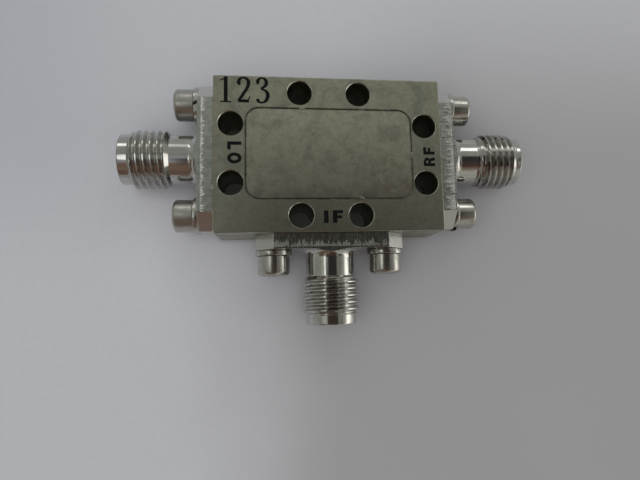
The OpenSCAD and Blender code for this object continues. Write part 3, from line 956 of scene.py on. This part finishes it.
def label(name, word, height, gap, centre, turn, narrow, bold=0.265):
    """A word in ink on the housing's top, about its centre."""
    skin, x = Skin(), 0.0
    letters = letter_shapes(bold)

    def placed(shapes):
        return [[Vector((x + p.x * narrow * height, p.y * height)) for p in shape] for shape in shapes]

    for letter in word:
        width, shapes, gaps = letters[letter]
        points, faces, _ = flat_triangles(placed(shapes), placed(gaps), 1e-5)
        add_ink(skin, points, faces)
        x += width * narrow * height + gap
    half = (x - gap) / 2
    skin.verts = [(x - half, y - height / 2, z) for x, y, z in skin.verts]
    matrix = (Matrix.Translation((centre[0] * MM, centre[1] * MM, BODY_H * MM))
              @ Matrix.Rotation(math.radians(turn), 4, "Z"))
    piece(name, skin.mesh(name + "_mesh", smooth_angle=20), INK, matrix=matrix)


def add_ink(skin, points, faces):
    """Flat faces with a thickness: top, bottom and the walls of their border, which is uneven."""
    used = sorted({i for face in faces for i in face})
    uneven = []
    for i in used:
        x, y = points[i]
        uneven.append((x + INK_SHAKE * noise.noise(Vector((x * INK_WAVES, y * INK_WAVES, 0.3))),
                       y + INK_SHAKE * noise.noise(Vector((x * INK_WAVES, y * INK_WAVES, 5.3)))))
    top = dict(zip(used, skin.ring([(x, y, INK_T) for x, y in uneven])))
    low = dict(zip(used, skin.ring([(x, y, 0) for x, y in uneven])))
    sides = {}
    for face in faces:
        skin.faces.append(tuple(top[i] for i in face))
        skin.faces.append(tuple(low[i] for i in reversed(face)))
        for side in zip(face, face[1:] + face[:1]):
            sides[side] = True
    for a, b in sides:
        if (b, a) not in sides:
            skin.faces.append((top[a], low[a], low[b], top[b]))


label("label_lo", "LO", height=1.42, gap=0.32, centre=(-9.95, 0.0), turn=-90, narrow=0.95)
label("label_rf", "RF", height=1.23, gap=0.3, centre=(10.78, -0.26), turn=90, narrow=1.05)
label("label_if", "IF", height=1.32, gap=0.53, centre=(0.19, -6.78), turn=0, narrow=1.25, bold=0.28)
label("label_number", "123", height=2.8, gap=0.55, centre=(-8.97, 6.8), turn=0, narrow=0.95)


# Staking marks across the cover's seam, and small burrs on the housing's edges

def lump(name, centre, size, turn, seed, material=HOUSING_METAL):
    """Small uneven pad of displaced metal."""
    skin = Skin()
    count = 20
    rings = []
    for share, lift in ((1.0, 0.0), (0.85, 0.7), (0.5, 1.0), (0.15, 1.05)):
        points = []
        for a in angles(count):
            uneven = 1 + 0.25 * noise.noise(Vector((math.cos(a) * 1.3, math.sin(a) * 1.3, seed)))
            reach = share * uneven
            points.append((size[0] * reach * math.cos(a), size[1] * reach * math.sin(a), size[2] * lift))
        rings.append(skin.ring(points))
    rings.insert(0, skin.ring([(x, y, -0.05) for x, y, _ in skin.verts[:count]]))
    skin.chain(rings)
    skin.cap(rings)
    matrix = Matrix.Translation(Vector(centre) * MM) @ Matrix.Rotation(turn, 4, "Z")
    piece(name, skin.mesh(name + "_mesh", smooth_angle=40), material, matrix=matrix)


SEAM_X, SEAM_Y = COVER_W / 2 + COVER_GAP / 2, COVER_D / 2 + COVER_GAP / 2
STAKE_Z, BURR_Z = BODY_H - 0.01, BODY_H - 0.03
lump("stake_back", (-2.9, SEAM_Y, STAKE_Z), (0.34, 0.2, 0.02), 0.1, 3.1)
lump("stake_right", (SEAM_X, -0.15, STAKE_Z), (0.2, 0.36, 0.02), 0.0, 5.2)
lump("stake_front", (3.25, -SEAM_Y, STAKE_Z), (0.3, 0.2, 0.02), -0.2, 9.4)
# Place, length and turn of each burr
BURRS = [
    (-BODY_W / 2 + 0.03, 3.0, 0.14, 1.5),
    (-BODY_W / 2 + 0.03, -3.7, 0.12, 1.5),
    (-BODY_W / 2 + 0.03, -6.3, 0.2, 1.6),
    (-BODY_W / 2 + 0.12, -BODY_D / 2 + 0.12, 0.22, 2.2),
    (-8.55, -BODY_D / 2 + 0.03, 0.14, 0.1),
]
for number, (burr_x, burr_y, length, turn) in enumerate(BURRS):
    lump(f"edge_burr_{number}", (burr_x, burr_y, BURR_Z), (length, 0.05, 0.03), turn, 20 + number,
         BRIGHT_METAL)


# Studio: floor, light and camera

FLOOR_REACH, FLOOR_ROUGH = 1500.0, 0.22


def stage_plane(name, x, y, z, material):
    skin = Skin()
    skin.faces.append(tuple(skin.ring(rectangle(x, y, z))))
    data = skin.mesh(name + "_mesh")
    data.materials.append(material)
    return add_object(name, data)


def make_floor():
    """Paper of uneven tone, with painted shadows and painted light on it."""
    material, g = new_graph("floor")
    where = g.place()
    x, y, _ = g.split(where)
    wander = g.times(g.math("SUBTRACT", g.noise(where, 0.05, 2.0), 0.5), 12.0)
    slope = g.times(g.math("MAXIMUM", g.math("ADD", y, 20.0), 0.0), 0.45)
    across = g.ramp(g.math("ADD", g.math("SUBTRACT", x, slope), wander), -18.0, 2.0)
    grain = g.noise(where, 1.6, 3.0, 0.6)
    # Painted shadow to the right of the slope, mottling, painted shade at the far left behind the object,
    # painted light at the far right, darker towards the far left end, and painted shade under the object
    tone = g.layers(rgb(0.63, 0.645, 0.705), [
        (g.times(across, g.ramp(y, 0.0, 29.0, 1.0, 0.0)), rgb(0.43, 0.43, 0.45)),
        (g.ramp(grain, 0.3, 0.7, 0.0, 0.1), rgb(0.48, 0.485, 0.5)),
        (g.times(g.ramp(x, -18.0, -36.0), g.ramp(y, -16.0, 6.0, 0.0, 0.55)), rgb(0.49, 0.515, 0.6)),
        (g.ramp(x, 46.0, 75.0), rgb(0.95, 0.93, 0.88)),
        (g.ramp(x, -85.0, -48.0, 1.0, 0.0), rgb(0.3, 0.31, 0.29)),
        (g.times(g.band(x, -BODY_W / 2, BODY_W / 2, 0.6), g.band(y, -BODY_D / 2, BODY_D / 2, 0.6)),
         rgb(0.27, 0.275, 0.25)),
    ])
    g.surface(tone, FLOOR_ROUGH, metallic=0.0)
    floor = stage_plane("floor", (-FLOOR_REACH, FLOOR_REACH), (-FLOOR_REACH, FLOOR_REACH), 0, material)


# What surrounds the object: tilt from straight up towards +X and towards +Y in degrees, each as
# low and high, then softness and colour. A later patch lies over an earlier one. The camera itself
# sees SEEN_ROOM instead.
ROOM = (0.34, 0.345, 0.32)
SEEN_ROOM = (0.4, 0.408, 0.425)
PATCHES = [
    ((-95, -30), (-15, 30), 5, (0.27, 0.28, 0.245)),
    ((-47, -31), (-9, 11), 3, (0.42, 0.425, 0.37)),
    ((-20, 30), (8, 44), 5, (0.29, 0.3, 0.27)),
    ((-7, 17), (18, 46), 4, (0.5, 0.51, 0.46)),
    ((-22, 24), (-30, 9), 3, (0.28, 0.29, 0.29)),
    ((24, 49), (-10, 9), 3, (0.2, 0.19, 0.17)),
    ((-18, -5), (9, 15), 3, (0.22, 0.23, 0.21)),
    ((6, 25.5), (-32, 15), 3, (0.033, 0.03, 0.028)),
    ((-30, 33), (-95, -27), 5, (0.18, 0.12, 0.09)),
    ((-7, 22), (-60, -27), 5, (0.08, 0.05, 0.04)),
    ((-78, -20), (-95, -58), 6, (0.15, 0.1, 0.08)),
    ((-60, -34), (-70, -10), 4, (0.13, 0.09, 0.07)),
    ((9, 27), (-40, -18), 5, (0.06, 0.034, 0.026)),
    ((34, 52), (-34, -8), 4, (0.07, 0.05, 0.04)),
    ((36, 60), (-78, -46), 5, (0.42, 0.4, 0.34)),
    ((-45, -21), (49, 62), 3, (1.5, 1.5, 1.46)),
    ((-22, 22), (50, 62), 4, (0.75, 0.75, 0.73)),
    ((21, 43), (43, 60), 3, (1.8, 1.8, 1.75)),
    ((66, 100), (-65, 36), 7, (1.65, 1.6, 1.5)),
    ((84, 100), (-84, -50), 5, (1.65, 1.6, 1.5)),
]
CARD_X, CARD_Y, CARD_Z = (-30, 60), (-60, 30), 72.0


def make_world():
    world = bpy.data.worlds.new("studio")
    bpy.context.scene.world = world
    world.use_nodes = True
    g = Graph(world.node_tree)
    x, y, z = g.split(g.node("ShaderNodeTexCoord").outputs["Generated"])
    degrees = 180 / math.pi
    tilt_x = g.times(g.math("ARCTAN2", x, z), degrees)
    tilt_y = g.times(g.math("ARCTAN2", y, z), degrees)
    colour = g.layers(rgb(*ROOM), [
        (g.times(g.band(tilt_x, *across, soft), g.band(tilt_y, *along, soft)), rgb(*patch))
        for across, along, soft, patch in PATCHES])
    studio = g.node("ShaderNodeBackground", {"Color": colour, "Strength": 1.0})
    seen = g.node("ShaderNodeBackground", {"Color": rgb(*SEEN_ROOM), "Strength": 1.0})
    camera_ray = g.node("ShaderNodeLightPath").outputs["Is Camera Ray"]
    both = g.node("ShaderNodeMixShader", {0: camera_ray, 1: studio.outputs[0], 2: seen.outputs[0]})
    g.finish("ShaderNodeOutputWorld", both)


def make_card():
    """Dark card above the object, which only its polished metal sees."""
    material, g = new_graph("dark_card")
    x, y, _ = g.split(g.place())
    middle = g.times(g.band(x, -18.5, 24.0, 4.0), g.band(y, -48.0, 19.0, 6.0))
    left = g.times(g.band(x, -29.0, 0.0, 2.5), g.band(y, -48.0, -9.0, 4.0))
    tone = g.mix(g.ramp(y, -34.0, -8.0), rgb(0.08, 0.048, 0.036), rgb(0.033, 0.03, 0.028))
    dark = g.node("ShaderNodeEmission", {"Color": tone, "Strength": 1.0})
    clear = g.node("ShaderNodeBsdfTransparent")
    both = g.node("ShaderNodeMixShader", {0: g.math("MAXIMUM", middle, left), 1: clear.outputs[0],
                                          2: dark.outputs[0]})
    g.finish("ShaderNodeOutputMaterial", both)
    card = stage_plane("dark_card", CARD_X, CARD_Y, CARD_Z, material)
    card.visible_camera = False
    card.visible_diffuse = False
    card.visible_shadow = False


# Lamps: direction towards each, then the broad one's angle and energy, and the small one's place
# and size in millimetres and its radiance
BROAD_FROM, BROAD_ANGLE, BROAD_ENERGY = (-0.25, -0.4, 1.0), 80, 1.1
SMALL_FROM, SMALL_AT, SMALL_SIZE, SMALL_RADIANCE = (-0.39, 0.0, 1.0), (-36.5, -4, 67), (30, 9), 1.0


def aim(item, towards):
    """Turns a lamp to shine back along the direction towards it."""
    item.rotation_euler = Vector(towards).to_track_quat("Z", "Y").to_euler()


def make_lamps():
    """A broad lamp for the floor's soft shadows, and a small one that draws the glints in the steel."""
    broad = bpy.data.lights.new("broad_lamp", "SUN")
    broad.energy = BROAD_ENERGY
    broad.angle = math.radians(BROAD_ANGLE)
    item = add_object("broad_lamp", broad)
    aim(item, BROAD_FROM)
    item.visible_glossy = False
    small = bpy.data.lights.new("small_lamp", "AREA")
    small.shape = "ELLIPSE"
    small.size, small.size_y = [s * MM for s in SMALL_SIZE]
    small.energy = SMALL_RADIANCE * math.pi * math.pi / 4 * small.size * small.size_y
    item = add_object("small_lamp", small)
    aim(item, SMALL_FROM)
    item.location = Vector(SMALL_AT) * MM
    item.visible_camera = False


# Camera as fitted to the photograph, its turn in radians
CAMERA_AT, CAMERA_TURN = (-5.405, -14.857, 58.298), (0.124, -0.134, -0.029)
LENS, SHIFT_X, SHIFT_Y = 28.49, -0.04595, -0.0107


def make_camera():
    data = bpy.data.cameras.new("camera")
    data.sensor_width = 36.0
    data.lens = LENS
    data.shift_x = SHIFT_X
    data.shift_y = SHIFT_Y
    data.clip_start = 0.002
    data.clip_end = 10
    camera = add_object("camera", data)
    camera.location = Vector(CAMERA_AT) * MM
    camera.rotation_euler = Euler(CAMERA_TURN, "XYZ")
    bpy.context.scene.camera = camera


make_floor()
make_world()
make_card()
make_lamps()
make_camera()
bpy.context.scene.view_settings.view_transform = "Standard"
